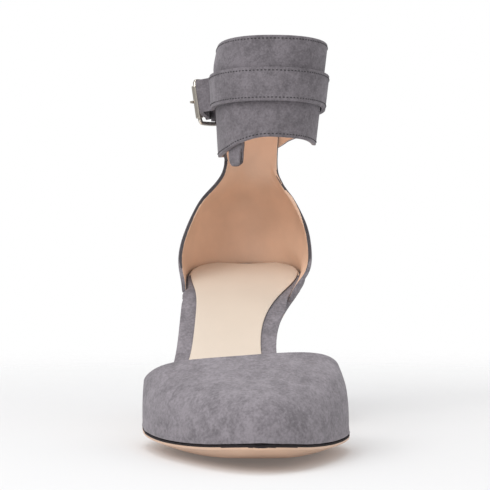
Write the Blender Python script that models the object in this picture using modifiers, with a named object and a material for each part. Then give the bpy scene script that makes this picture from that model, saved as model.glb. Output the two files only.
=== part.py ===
"""A right-foot ankle strap pump: pointed vamp, open sides, a high heel counter and a buckled ankle cuff.

Lengths are in millimetres until a mesh is made. The toe points to -Y, the outer side of the foot
is -X, and the floor is z = 0 under the ball of the foot.
"""

import math

import bmesh
import bpy
import numpy as np

MM = 0.001
TOE_Y = -78.0
HEEL_Y = 165.0
GAP = 0.3
VAMP_WALL = 1.8
QUARTER_WALL = 1.9
CUFF_WALL = 2.0
STRAP_THICK = 1.7
SOCK_THICK = 0.6
BOARD_THICK = 1.9
BREAST_Y = 121.0

# The foot's outline where the upper meets the sole, and the heights along its middle.
# Columns: y, outer x, inner x, rise of the sole's edge over its middle, insole z, sole bottom z.
LAST = (
    (-78.0, 5.8, 5.8, 0.0, 14.1, 9.2),
    (-76.0, -1.0, 12.4, 0.8, 12.8, 8.0),
    (-72.0, -5.6, 17.0, 1.5, 11.6, 6.4),
    (-64.0, -12.3, 22.6, 2.1, 9.9, 4.6),
    (-52.0, -20.0, 28.6, 2.8, 8.2, 2.6),
    (-36.0, -28.2, 34.6, 3.4, 6.8, 1.0),
    (-24.0, -33.2, 38.0, 3.7, 6.3, 0.2),
    (-17.0, -35.4, 39.6, 3.9, 6.1, 0.0),
    (-5.0, -38.6, 41.0, 4.0, 6.1, 0.0),
    (6.0, -40.5, 40.0, 3.6, 7.2, 0.0),
    (15.0, -41.0, 37.0, 2.6, 10.4, 2.4),
    (25.0, -39.6, 31.0, 1.7, 14.9, 8.4),
    (35.0, -36.0, 23.4, 1.2, 20.0, 14.4),
    (45.0, -31.6, 16.4, 0.9, 25.8, 20.7),
    (55.0, -29.2, 13.0, 0.8, 31.8, 27.0),
    (70.0, -28.3, 13.2, 0.8, 40.0, 35.3),
    (86.0, -27.9, 15.6, 0.9, 47.2, 42.5),
    (102.0, -27.6, 20.2, 1.1, 53.4, 48.7),
    (114.0, -27.8, 24.0, 1.3, 57.2, 52.5),
    (126.0, -28.3, 26.8, 1.4, 60.8, 55.8),
    (138.0, -28.0, 27.6, 1.5, 63.6, 58.6),
    (150.0, -24.6, 25.2, 1.5, 65.8, 60.6),
    (158.0, -18.2, 19.2, 1.5, 67.1, 61.8),
    (163.0, -10.0, 11.0, 1.5, 67.9, 62.5),
    (165.0, 0.5, 0.5, 1.5, 68.2, 62.8),
)
OUTER, INNER, RISE, INSOLE, UNDER = 1, 2, 3, 4, 5


def along(y):
    """Runs from 0 at the toe to 1 at the heel, crowded at both ends so that they come out round."""
    share = min(max((y - TOE_Y) / (HEEL_Y - TOE_Y), 0.0), 1.0)
    return math.acos(1 - 2 * share) / math.pi


def at_share(share):
    return TOE_Y + (HEEL_Y - TOE_Y) * (1 - math.cos(math.pi * share)) / 2


def smooth(keys, values, at):
    """A cubic curve through the points that never overshoots them."""
    keys = np.asarray(keys, float)
    values = np.asarray(values, float)
    at = min(max(at, keys[0]), keys[-1])
    steps = np.diff(values) / np.diff(keys)
    slopes = np.concatenate([steps[:1], np.zeros(len(keys) - 2), steps[-1:]])
    for i in range(1, len(keys) - 1):
        if steps[i - 1] * steps[i] > 0:
            slopes[i] = 2 * steps[i - 1] * steps[i] / (steps[i - 1] + steps[i])
    i = min(int(np.searchsorted(keys, at, side="right")) - 1, len(keys) - 2)
    width = keys[i + 1] - keys[i]
    t = (at - keys[i]) / width
    return float(
        values[i] * (1 + 2 * t) * (1 - t) ** 2
        + slopes[i] * width * t * (1 - t) ** 2
        + values[i + 1] * t * t * (3 - 2 * t)
        + slopes[i + 1] * width * t * t * (t - 1)
    )


LAST_KEYS = [along(row[0]) for row in LAST]


def last(y, column):
    return smooth(LAST_KEYS, [row[column] for row in LAST], along(y))


def seat(y, side):
    """The top face of the sole. side runs from -1 at its outer edge to 1 at its inner edge."""
    middle = last(y, INSOLE) - SOCK_THICK - BOARD_THICK - 2 * GAP
    return middle + last(y, RISE) * abs(side) ** 2.2


def edge_x(y, hand, inset):
    """x of one edge of the outline, drawn in square to that edge. hand is -1 outer or 1 inner."""
    column = OUTER if hand < 0 else INNER
    slope = last(y + 0.5, column) - last(y - 0.5, column)
    return last(y, column) - hand * inset * math.hypot(1.0, min(abs(slope), 2.5))


def across(y, side, inset=0.0):
    """x at this side of the outline, drawn in by inset."""
    outer = edge_x(y, -1, inset)
    inner = edge_x(y, 1, inset)
    middle = (outer + inner) / 2
    half = max((inner - outer) / 2, 0.02)
    return middle + side * half


def clear_scene():
    for item in list(bpy.data.objects):
        bpy.data.objects.remove(item, do_unlink=True)


def add_mesh(name, points, faces, colour, metal=0.0, rough=0.6, keep_faces=False):
    mesh = bpy.data.meshes.new(name)
    mesh.from_pydata([tuple(c * MM for c in p) for p in points], [], faces)
    shape = bmesh.new()
    shape.from_mesh(mesh)
    if not keep_faces:
        bmesh.ops.recalc_face_normals(shape, faces=shape.faces)
    shape.to_mesh(mesh)
    shape.free()
    item = bpy.data.objects.new(name, mesh)
    bpy.context.scene.collection.objects.link(item)
    finish = bpy.data.materials.new(name)
    finish.use_nodes = True
    shader = finish.node_tree.nodes["Principled BSDF"]
    shader.inputs["Base Color"].default_value = (*colour, 1.0)
    shader.inputs["Metallic"].default_value = metal
    shader.inputs["Roughness"].default_value = rough
    mesh.materials.append(finish)
    return item


SUEDE = (0.27, 0.25, 0.27)
TAN = (0.60, 0.40, 0.27)
NUDE = (0.72, 0.55, 0.42)
BLACK = (0.03, 0.03, 0.03)
METAL = (0.75, 0.74, 0.72)


def skin(rows, closed=False):
    """Quads between rows of point numbers."""
    faces = []
    for low, high in zip(rows, rows[1:]):
        pairs = list(zip(low, low[1:], high[1:], high))
        if closed:
            pairs.append((low[-1], low[0], high[0], high[-1]))
        faces += pairs
    return faces


def plate(name, stations, sides, top, bottom, colour):
    """A solid between two faces laid out in stations along y, closed all round its edge.

    top and bottom take a station and a side and give a point.
    """
    points = []
    rings = []
    count = len(sides)
    for y in stations:
        first = len(points)
        points += [top(y, side) for side in sides]
        points += [bottom(y, side) for side in reversed(sides)]
        rings.append([first + i for i in range(2 * count)])
    faces = skin(rings, closed=True)
    for ring, flip in ((rings[0], True), (rings[-1], False)):
        for i in range(count - 1):
            quad = (ring[i], ring[i + 1], ring[-2 - i], ring[-1 - i])
            faces.append(quad if flip else quad[::-1])
    return add_mesh(name, points, faces, colour)


def spaced(count, first=-1.0, final=1.0):
    return [first + (final - first) * i / (count - 1) for i in range(count)]


def stations_between(start, end, count):
    low = along(start)
    high = along(end)
    return [at_share(low + (high - low) * i / (count - 1)) for i in range(count)]


# The sole: a flat tread under the ball, thin at its edge, rising through the waist to the heel.
SOLE_EDGE = 1.7
SOLE_TIP = -77.6


def add_outsole():
    def top(y, side):
        return (across(y, side), y, seat(y, side))

    def bottom(y, side):
        edge = seat(y, 1.0) - SOLE_EDGE
        middle = min(last(y, UNDER), edge)
        away = max((abs(side) - 0.42) / 0.58, 0.0)
        return (across(y, side), y, middle + (edge - middle) * away**1.7)

    rows = stations_between(SOLE_TIP, BREAST_Y, 27)
    return plate("outsole", rows, spaced(11), top, bottom, NUDE)


# The board inside the shoe: bare and full width at the waist, drawn in where the upper is lasted.
BOARD_START = -73.0
BOARD_END = 161.0
LASTED = 2.8
VAMP_TAIL = {-1: 44.0, 1: 40.0}
QUARTER_FRONT = {-1: 112.0, 1: 102.0}
SOCK_MARGIN = (
    (-78.0, 4.0),
    (16.0, 4.2),
    (34.0, 5.2),
    (52.0, 6.4),
    (90.0, 6.7),
    (108.0, 6.2),
    (122.0, 4.6),
    (134.0, 3.7),
    (165.0, 3.6),
)


def ramp(value, start, end):
    t = min(max((value - start) / (end - start), 0.0), 1.0)
    return t * t * (3 - 2 * t)


def drawn_in(y, hand):
    """How far the board is inside the outline on this hand, -1 outer or 1 inner."""
    front = 1 - ramp(y, VAMP_TAIL[hand] - 0.5, VAMP_TAIL[hand] + 4)
    back = ramp(y, QUARTER_FRONT[hand] - 4, QUARTER_FRONT[hand] + 0.5)
    return LASTED * max(front, back)


def board_x(y, side):
    outer = edge_x(y, -1, drawn_in(y, -1))
    inner = edge_x(y, 1, drawn_in(y, 1))
    return (outer + inner) / 2 + side * max((inner - outer) / 2, 0.02)


def outline_side(y, x):
    outer = last(y, OUTER)
    inner = last(y, INNER)
    return (2 * x - outer - inner) / max(inner - outer, 0.04)


def board_top(y, x):
    """The board's top face, rounded over where its edge is bare."""
    side = min(abs(outline_side(y, x)), 1.0)
    return seat(y, side) + GAP + BOARD_THICK - 1.1 * side**8


BOARD_ROWS = stations_between(BOARD_START, BOARD_END, 34)
BOARD_SIDES = (-1, -0.94, -0.78, -0.45, 0, 0.45, 0.78, 0.94, 1)


def add_insole_board():
    def top(y, side):
        x = board_x(y, side)
        return (x, y, board_top(y, x))

    def bottom(y, side):
        x = board_x(y, side)
        return (x, y, seat(y, outline_side(y, x)) + GAP)

    return plate("insole_board", BOARD_ROWS, BOARD_SIDES, top, bottom, SUEDE)


def sock_x(y, side):
    margin = smooth([row[0] for row in SOCK_MARGIN], [row[1] for row in SOCK_MARGIN], y)
    return across(y, side, margin)


def add_sock():
    def lifted(height):
        def face(y, side):
            x = sock_x(y, side)
            under = [board_x(y, place) for place in BOARD_SIDES]
            return (x, y, float(np.interp(x, under, [board_top(y, u) for u in under])) + height)

        return face

    return plate("sock", BOARD_ROWS[1:-1], spaced(9), lifted(GAP + SOCK_THICK), lifted(GAP), NUDE)


# The vamp: arches from the toe to a topline that dips to the sole behind the ball.
# Columns: y, height of the crest over the sole's edge, squareness of the arch.
ARCH = (
    (-78.0, 0.0, 2.0),
    (-76.0, 8.4, 2.1),
    (-72.0, 12.8, 2.2),
    (-64.0, 16.8, 2.5),
    (-52.0, 19.8, 2.9),
    (-36.0, 22.6, 3.5),
    (-20.0, 25.0, 4.4),
    (0.0, 27.6, 5.6),
    (12.0, 28.8, 5.8),
    (45.0, 30.4, 5.8),
)
ARCH_KEYS = [along(row[0]) for row in ARCH]
THROAT_Y = 6.0
TOPLINE_SWEEP = 1.7
CREST_LEAN = 0.075
VAMP_COLUMNS = 26
VAMP_ROWS = 20


def arch(y, turn, inset):
    """A point of the vamp. turn runs from 0 at the outer sole edge over the crest to pi."""
    at = along(y)
    rise = max(smooth(ARCH_KEYS, [row[1] for row in ARCH], at) - inset, 0.02)
    power = 2 / smooth(ARCH_KEYS, [row[2] for row in ARCH], at)
    side = -math.copysign(abs(math.cos(turn)) ** power, math.cos(turn))
    height = math.sin(turn) ** power
    x = across(y, side, inset)
    foot = seat(y, 1.0) + GAP
    return (x, y, foot + rise * height + CREST_LEAN * x * height * min(rise / 25, 1.0))


def even_turns(count):
    """Turns that share out the length of the arch at the throat."""
    fine = [math.pi * i / 600 for i in range(601)]
    spots = np.array([arch(0.0, turn, 0.0) for turn in fine])
    run = np.concatenate([[0], np.cumsum(np.linalg.norm(np.diff(spots, axis=0), axis=1))])
    turns = list(np.interp(np.linspace(0, run[-1], count), run, fine))
    return [0.0] + turns[1:-1] + [math.pi]


def vamp_end(turn):
    hand = -1 if turn < math.pi / 2 else 1
    height = math.sin(turn) ** (2 / 5.6)
    return THROAT_Y + (VAMP_TAIL[hand] - 1.5 - THROAT_Y) * (1 - height) ** TOPLINE_SWEEP


def add_vamp():
    turns = even_turns(VAMP_COLUMNS)
    points = []
    layers = []
    for inset in (0.0, VAMP_WALL):
        tip_y = TOE_Y + inset
        tip = len(points)
        points.append((last(TOE_Y, OUTER), tip_y, seat(TOE_Y, 1.0) + GAP))
        rows = []
        for step in range(1, VAMP_ROWS + 1):
            share = (step / VAMP_ROWS) ** 1.25
            rows.append([])
            for turn in turns:
                low = along(tip_y + 0.6 * inset)
                high = along(vamp_end(turn))
                rows[-1].append(len(points))
                points.append(arch(at_share(low + (high - low) * share), turn, inset))
        layers.append((tip, rows))
    faces = []
    for tip, rows in layers:
        faces += skin(rows)
        faces += [(tip, b, a) for a, b in zip(rows[0], rows[0][1:])]
    (out_tip, out_rows), (in_tip, in_rows) = layers
    faces += skin([out_rows[-1], in_rows[-1]])
    for end in (0, -1):
        faces += skin([[out_tip] + [r[end] for r in out_rows], [in_tip] + [r[end] for r in in_rows]])
    return add_mesh("vamp", points, faces, SUEDE)


def add_sheet(name, points, faces, wall, offset, colour):
    """An open sheet of faces given thickness. offset is -1 to grow inwards and 0 to stay centred."""
    spots = np.array(points)
    outwards = 0.0
    for face in faces:
        a, b, c = (spots[i] for i in face[:3])
        outwards += float(np.cross(b - a, c - b) @ (a - spots.mean(axis=0)))
    if outwards < 0:
        faces = [face[::-1] for face in faces]
    item = add_mesh(name, points, faces, colour, keep_faces=True)
    solid = item.modifiers.new("wall", "SOLIDIFY")
    solid.thickness = wall * MM
    solid.offset = offset
    solid.use_even_offset = True
    solid.use_rim = True
    return item


# The cuff: a leaning oval band. Angles run from 0 on the outer side over 90 in front to 180 on the
# inner side and 270 at the back.
CUFF_LOW_Z = 120.0
CUFF_TALL = 46.0
CUFF_POWER = 2 / 2.25
CUFF_TILT = 0.071
CUFF_HEM = (
    (-120.0, 119.8),
    (-105.0, 117.2),
    (-85.0, 116.0),
    (-30.0, 115.8),
    (0.0, 115.4),
    (28.0, 117.2),
    (60.0, 121.6),
    (90.0, 124.0),
    (135.0, 123.4),
    (180.0, 121.4),
    (222.0, 121.6),
    (240.0, 119.8),
)


def signed_power(value, power):
    return math.copysign(abs(value) ** power, value)


def cuff_point(angle, z, offset):
    """A point of the cuff's outer face, moved out by offset."""
    up = (z - CUFF_LOW_Z) / CUFF_TALL
    turn = math.radians(angle)
    wide = 21.8 + 4.1 * up + offset
    deep = 39.4 + 0.9 * up + offset
    x = 9.5 + 1.6 * up - wide * signed_power(math.cos(turn), CUFF_POWER)
    y = 121.0 + CUFF_TILT * (z - 145) - deep * signed_power(math.sin(turn), CUFF_POWER)
    return (x, y, z)


def cuff_top_z(angle):
    y = cuff_point(angle, 166.0, 0.0)[1]
    return 164.9 + CUFF_TILT * (121.0 - y)


def cuff_hem_z(angle):
    if angle > 240:
        angle -= 360
    return smooth([row[0] for row in CUFF_HEM], [row[1] for row in CUFF_HEM], angle)


def add_cuff():
    angles = [i * 360 / 44 for i in range(44)]
    points = []
    rows = []
    for share in spaced(7, 0.0, 1.0):
        rows.append([])
        for angle in angles:
            low = cuff_hem_z(angle)
            rows[-1].append(len(points))
            points.append(cuff_point(angle, low + (cuff_top_z(angle) - low) * share, 0.0))
    return add_sheet("cuff", points, skin(rows, closed=True), CUFF_WALL, -1, SUEDE)


# The quarter: the heel counter, narrowing to a stem that runs up inside the cuff, with a wing
# that reaches forward inside the cuff's outer side.
# Columns: z, outer edge x, y, inner edge x, y, back y, back x.
COUNTER = (
    (54.0, -27.6, 113.5, 22.4, 103.5, 165.0, 0.5),
    (60.0, -28.8, 115.0, 27.2, 107.0, 165.0, 0.5),
    (69.0, -30.0, 118.5, 29.8, 113.5, 165.7, 0.5),
    (76.0, -29.2, 123.0, 29.7, 120.0, 166.2, 0.6),
    (84.0, -26.6, 128.5, 28.4, 128.5, 166.0, 0.7),
    (97.0, -20.6, 135.0, 22.6, 141.5, 163.2, 0.9),
    (108.0, -14.8, 136.5, 18.2, 149.5, 160.0, 1.2),
    (116.0, -11.2, 136.0, 15.6, 155.0, 158.0, 1.5),
)
STEM_OUTER, STEM_INNER = -14.0, -105.0
STEM_Z = 114.0
STEM_TOP = 156.0
COUNTER_COLUMNS = 21
COUNTER_ROWS = 11
# Columns: angle, z of the wing's lower edge.
WING = (
    (59.0, 114.6),
    (57.2, 112.3),
    (53.5, 111.2),
    (48.5, 111.2),
    (44.0, 112.6),
    (40.5, 115.4),
    (35.0, 118.4),
    (24.0, 119.2),
    (10.0, 118.4),
    (-4.0, 116.4),
)


def counter_free(spot, z):
    """The counter's face away from the sole and the cuff. spot runs from -1 outer to 1 inner."""
    keys = [row[0] for row in COUNTER]
    values = [smooth(keys, [row[i] for row in COUNTER], z) for i in range(1, 7)]
    edge = np.array(values[0:2] if spot < 0 else values[2:4])
    back = np.array([values[5], values[4]])
    way = -1 if spot < 0 else 1
    t = abs(spot)
    high = ramp(z, 84, 112)
    reach = 0.60 * abs(edge[0] - back[0]) * (1 - 0.25 * high)
    lean = 0.50 * (back[1] - edge[1])
    aim = way * (0.06 + 0.5 * high)
    bend_back = back + np.array([way * reach, 0.0])
    bend_edge = edge + np.array([-aim * lean * 0.6 + way * 2.2 * (1 - high), lean])
    return (
        back * (1 - t) ** 3
        + bend_back * 3 * t * (1 - t) ** 2
        + bend_edge * 3 * t * t * (1 - t)
        + edge * t**3
    )


def seat_outline(spot):
    hand = -1 if spot < 0 else 1
    front = along(QUARTER_FRONT[hand] + 1.5)
    y = at_share(1 + (front - 1) * abs(spot))
    return np.array([edge_x(y, hand, 0.0), y])


def counter_point(spot, z):
    low = seat_outline(spot)
    foot = seat(low[1], 1.0) + GAP
    angle = STEM_OUTER + (STEM_INNER - STEM_OUTER) * (spot + 1) / 2
    high = np.array(cuff_point(angle, z, -CUFF_WALL - GAP)[:2])
    middle = counter_free(spot, z)
    at_foot = 1 - ramp(z, foot, foot + 13)
    at_cuff = ramp(z, 96, STEM_Z)
    flat = (low * at_foot + middle * (1 - at_foot)) * (1 - at_cuff) + high * at_cuff
    return (flat[0], flat[1], z)


def add_quarter():
    spots = spaced(COUNTER_COLUMNS)
    points = []
    low_rows = []
    for step in range(COUNTER_ROWS + 1):
        share = step / COUNTER_ROWS
        low_rows.append([])
        for spot in spots:
            foot = seat(seat_outline(spot)[1], 1.0) + GAP
            low_rows[-1].append(len(points))
            points.append(counter_point(spot, foot + (STEM_Z - foot) * share))
    angles = [row[0] for row in WING]
    high_rows = []
    for step in range(6):
        share = step / 5
        row = []
        for angle, low in WING:
            row.append(len(points))
            top = STEM_TOP - 3 * ramp(angle, -10, 30)
            points.append(cuff_point(angle, low + (top - low) * share, -CUFF_WALL - GAP))
        if step == 0:
            row += low_rows[-1]
        else:
            for spot in spots:
                row.append(len(points))
                points.append(counter_point(spot, STEM_Z + (STEM_TOP - STEM_Z) * share))
        high_rows.append(row)
    faces = skin(low_rows) + skin(high_rows)
    return add_sheet("quarter", points, faces, QUARTER_WALL, -1, SUEDE)


# The heel: a cup under the seat that thins to a slim stem.
# Columns: back y, breast y, half width, drop below the seat, its own z, how far the z is level.
HEEL = (
    (165.0, 121.4, 28.2, 0.0, 60.0, 0.0),
    (164.9, 122.0, 27.0, 2.2, 58.0, 0.0),
    (164.1, 125.8, 22.0, 6.0, 54.0, 0.1),
    (162.4, 131.8, 15.0, 10.5, 49.0, 0.35),
    (160.2, 137.6, 9.8, 16.0, 42.5, 0.75),
    (157.9, 141.6, 7.1, 22.0, 34.0, 1.0),
    (156.2, 143.9, 5.6, 0.0, 23.0, 1.0),
    (155.0, 145.2, 4.8, 0.0, 13.0, 1.0),
    (154.6, 145.6, 4.5, 0.0, 6.6, 1.0),
)
HEEL_BASE = HEEL[-1]
TIP_TALL = 6.3


def heel_outline():
    """Pairs of (outer x, y) and (inner x, y) from the breast to the back."""
    pairs = []
    for y in stations_between(HEEL[0][1], 164.9, 13):
        pairs.append(((edge_x(y, -1, 0.0), y), (edge_x(y, 1, 0.0), y)))
    return pairs


def heel_ring(row, pairs):
    back, breast, half, drop, level, flat = row
    deep = (back - breast) / (HEEL[0][0] - HEEL[0][1])
    ring = []
    for x, y in [p[0] for p in pairs] + [p[1] for p in reversed(pairs)]:
        z = (seat(y, 1.0) - drop) * (1 - flat) + level * flat
        ring.append((0.2 + (x - 0.2) * half / HEEL[0][2], breast + (y - HEEL[0][1]) * deep, z))
    return ring


def add_heel():
    pairs = heel_outline()
    points = []
    rings = []
    for row in HEEL:
        rings.append([len(points) + i for i in range(2 * len(pairs))])
        points += heel_ring(row, pairs)
    faces = skin(rings[:2]) + skin(rings[1:], closed=True)
    faces.append(tuple(rings[-1]))
    cap = []
    top = rings[0]
    for i, (_, (_, y)) in enumerate(pairs[:-1]):
        line = [top[i]]
        for side in (-0.75, -0.4, 0.0, 0.4, 0.75):
            line.append(len(points))
            points.append((across(y, side), y, seat(y, side)))
        line.append(top[-1 - i])
        cap.append(line)
    faces += skin(cap)
    faces.append((*cap[0], rings[1][-1], rings[1][0]))
    faces.append((*cap[-1], top[len(pairs)], top[len(pairs) - 1]))
    return add_mesh("heel", points, faces, SUEDE)


def add_heel_tip():
    back, breast, half, *_ = HEEL_BASE
    points = []
    rings = []
    for z, grow in ((0.0, 0.1), (TIP_TALL - 0.6, 0.35), (TIP_TALL, 0.1)):
        row = (back + grow, breast - grow, half + grow, 0.0, z, 1.0)
        ring = heel_ring(row, heel_outline())
        rings.append([len(points) + i for i in range(len(ring))])
        points += ring
    faces = skin(rings, closed=True) + [tuple(rings[0]), tuple(rings[-1])]
    return add_mesh("heel_tip", points, faces, BLACK)


# The strap's buckle stands off the cuff at the outer back. Its roller bar is proud of the strap
# and its back bar carries the chape and the prong.
BUCKLE_Z = 140.4
STRAP_Z = 143.6
STRAP_HALF = 7.2
ROLLER_AT = np.array([-21.3, 127.6])
BACK_BAR_ANGLE = -29.0
BAR_RADIUS = 1.05
ROLLER_RADIUS = 1.75
CHAPE_THICK = 1.2
CHAPE_HALF = 5.6
PRONG_RADIUS = 0.75
FRAME_HALF = 9.6
LEAN = 0.16


def plan(point):
    return np.array(point[:2])


BACK_BAR_AT = plan(cuff_point(BACK_BAR_ANGLE, BUCKLE_Z, 3.4))
BACKWARD = (BACK_BAR_AT - ROLLER_AT) / np.linalg.norm(BACK_BAR_AT - ROLLER_AT)
INWARD = np.array([BACKWARD[1], -BACKWARD[0]])


def off_bar(bar, inward, backward):
    return bar + INWARD * inward + BACKWARD * backward


# Columns: angle, how far the tip rides above the chape.
STRAP_TIP = ((-52, 1.3), (-60, 0.4), (-68, 0.3), (-76, 0.5), (-84, 0.95), (-92, 1.15), (-100, 1.15), (-106, 1.15))


def strap_spot(angle, share, out, level=None):
    """A point in plan on the cuff, moved out, at the height that the strap has there."""
    if level is None:
        level = STRAP_Z + CUFF_TILT * (121.0 - cuff_point(angle, 145.0, 0.0)[1])
    return plan(cuff_point(angle, level + STRAP_HALF * share, out))


def strap_line(share):
    """The strap's middle line in plan, from the back round to its tip.

    share runs from -1 at the strap's lower edge to 1 at its upper edge.
    """
    lift = GAP + 0.3 + STRAP_THICK / 2
    line = [strap_spot(angle, share, lift) for angle in range(270, 4, -8)]
    shift = INWARD * (LEAN * -STRAP_HALF * share)
    clear = ROLLER_RADIUS + 0.35 + STRAP_THICK / 2
    line.append(off_bar(ROLLER_AT, clear + 2.6, -9.0) + shift)
    line.append(off_bar(ROLLER_AT, clear + 0.3, -3.0) + shift)
    line.append(off_bar(ROLLER_AT, clear, 1.2) + shift)
    over = BAR_RADIUS + GAP + CHAPE_THICK + GAP + STRAP_THICK / 2
    line.append(off_bar(BACK_BAR_AT, -over * 0.55, -5.2) + shift)
    line.append(off_bar(BACK_BAR_AT, -over - 0.1, -0.4) + shift)
    line.append(off_bar(BACK_BAR_AT, -over + 0.2, 4.8) + shift)
    for angle, extra in STRAP_TIP:
        over_chape = GAP + CHAPE_THICK + GAP + STRAP_THICK / 2 + extra
        line.append(strap_spot(angle, share, over_chape, BUCKLE_Z))
    return line


def rounded_line(line, count):
    """Evenly spaced points on a curve through the line's points."""
    line = np.array(line)
    padded = np.vstack([2 * line[0] - line[1], line, 2 * line[-1] - line[-2]])
    fine = []
    for i in range(1, len(padded) - 2):
        before, start, end, after = padded[i - 1 : i + 3]
        for t in np.linspace(0, 1, 12, endpoint=False):
            fine.append(
                0.5
                * (
                    2 * start
                    + (end - before) * t
                    + (2 * before - 5 * start + 4 * end - after) * t * t
                    + (3 * start - before - 3 * end + after) * t**3
                )
            )
    fine = np.array(fine + [line[-1]])
    run = np.concatenate([[0], np.cumsum(np.linalg.norm(np.diff(fine, axis=0), axis=1))])
    even = np.linspace(0, run[-1], count)
    return np.stack([np.interp(even, run, fine[:, i]) for i in (0, 1)], axis=1)


STRAP_COLUMNS = 76


def strap_middle_z(y, along_strap):
    """The strap follows the cuff's tilt and drops a little to the buckle."""
    level = STRAP_Z + CUFF_TILT * (121.0 - y)
    drop = ramp(along_strap, 0.62, 0.80)
    return level + (BUCKLE_Z - level) * drop


def add_cuff_strap():
    points = []
    rows = []
    for share in (-1.0, 0.0, 1.0):
        line = rounded_line(strap_line(share), STRAP_COLUMNS)
        rows.append([])
        for i, (x, y) in enumerate(line):
            on = i / (STRAP_COLUMNS - 1)
            to_tip = 1 - ramp(i, STRAP_COLUMNS - 6, STRAP_COLUMNS + 2)
            half = (STRAP_HALF - 0.7 * ramp(on, 0.66, 0.76)) * (0.35 + 0.65 * to_tip)
            rows[-1].append(len(points))
            points.append((x, y, strap_middle_z(y, on) + half * share))
    strap = add_sheet("cuff_strap", points, skin(rows), STRAP_THICK, 0, SUEDE)
    hole = add_block("prong_hole", off_bar(BACK_BAR_AT, -2.6, -3.4), 13.0, 8.4, 2.7)
    cut(strap, hole)
    return strap


def add_block(name, at, length, depth, tall):
    """A cutter lying along the buckle."""
    points = []
    for z in (BUCKLE_Z - tall / 2, BUCKLE_Z + tall / 2):
        for a, b in ((-1, -1), (1, -1), (1, 1), (-1, 1)):
            corner = at + BACKWARD * (a * length / 2) + INWARD * (b * depth / 2)
            points.append((corner[0], corner[1], z))
    faces = [(0, 1, 2, 3), (4, 5, 6, 7), (0, 1, 5, 4), (1, 2, 6, 5), (2, 3, 7, 6), (3, 0, 4, 7)]
    block = add_mesh(name, points, faces, BLACK)
    block.hide_render = True
    block.display_type = "WIRE"
    return block


def cut(item, cutter):
    change = item.modifiers.new("cut", "BOOLEAN")
    change.operation = "DIFFERENCE"
    change.solver = "EXACT"
    change.object = cutter


def add_chape():
    """The short strap that is folded round the buckle's back bar, slotted for the prong."""
    reach = BAR_RADIUS + GAP + CHAPE_THICK / 2
    points = []
    rows = []
    for share in (-1.0, 0.0, 1.0):
        z = BUCKLE_Z + CHAPE_HALF * share
        shift = INWARD * (LEAN * -CHAPE_HALF * share)
        line = [plan(cuff_point(angle, z, GAP + CHAPE_THICK / 2)) for angle in (-86, -78, -70, -62, -54, -46)]
        line.append(off_bar(BACK_BAR_AT, reach, 2.2) + shift)
        for turn in (0, 45, 90, 135, 180):
            spin = math.radians(turn)
            line.append(off_bar(BACK_BAR_AT, reach * math.cos(spin), -reach * math.sin(spin)) + shift)
        line.append(off_bar(BACK_BAR_AT, -reach + 0.1, 3.4) + shift)
        rows.append([])
        for x, y in rounded_line(line, 30):
            rows[-1].append(len(points))
            points.append((x, y, z))
    chape = add_sheet("chape", points, skin(rows), CHAPE_THICK, 0, SUEDE)
    cut(chape, add_block("prong_slot", off_bar(BACK_BAR_AT, 0.0, -0.6), 9.0, 9.0, 2.7))
    return chape


KEEPER_ANGLES = (-66.0, -74.0)


def add_keeper():
    """A loop sewn to the cuff that holds the strap's tip down on the chape."""
    stack = GAP + CHAPE_THICK + GAP + STRAP_THICK + GAP + 0.85
    half = STRAP_HALF + 0.6
    ring = ((-1.0, 0.1), (-1.0, 1.0), (1.0, 1.0), (1.0, 0.1))
    points = []
    rows = []
    for angle in spaced(4, *KEEPER_ANGLES):
        rows.append([])
        for end, out in ring:
            z = BUCKLE_Z + half * end
            rows[-1].append(len(points))
            points.append(cuff_point(angle, z, GAP + 0.6 + (stack - 0.2) * out))
    return add_sheet("keeper", points, skin(rows), 1.1, 0, SUEDE)


def tube(name, line, radius, closed, colour, sides=8, metal=1.0):
    """A round bar along a line of points, capped unless it closes on itself."""
    line = [np.array(p, float) for p in line]
    points = []
    rings = []
    count = len(line)
    for i, at in enumerate(line):
        ahead = line[(i + 1) % count] if closed or i < count - 1 else at
        behind = line[i - 1] if closed or i > 0 else at
        way = (ahead - behind) / np.linalg.norm(ahead - behind)
        aside = np.cross(way, [INWARD[0], INWARD[1], 0.0])
        if np.linalg.norm(aside) < 0.2:
            aside = np.cross(way, [0.0, 0.0, 1.0])
        aside /= np.linalg.norm(aside)
        other = np.cross(way, aside)
        rings.append([len(points) + k for k in range(sides)])
        for k in range(sides):
            turn = 2 * math.pi * k / sides
            points.append(at + radius * (aside * math.cos(turn) + other * math.sin(turn)))
    faces = skin(rings + ([rings[0]] if closed else []), closed=True)
    if not closed:
        faces += [tuple(rings[0]), tuple(rings[-1])]
    return add_mesh(name, points, faces, colour, metal, 0.25)


def leaned(flat, z):
    flat = flat - INWARD * (LEAN * (z - BUCKLE_Z))
    return (flat[0], flat[1], z)


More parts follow.
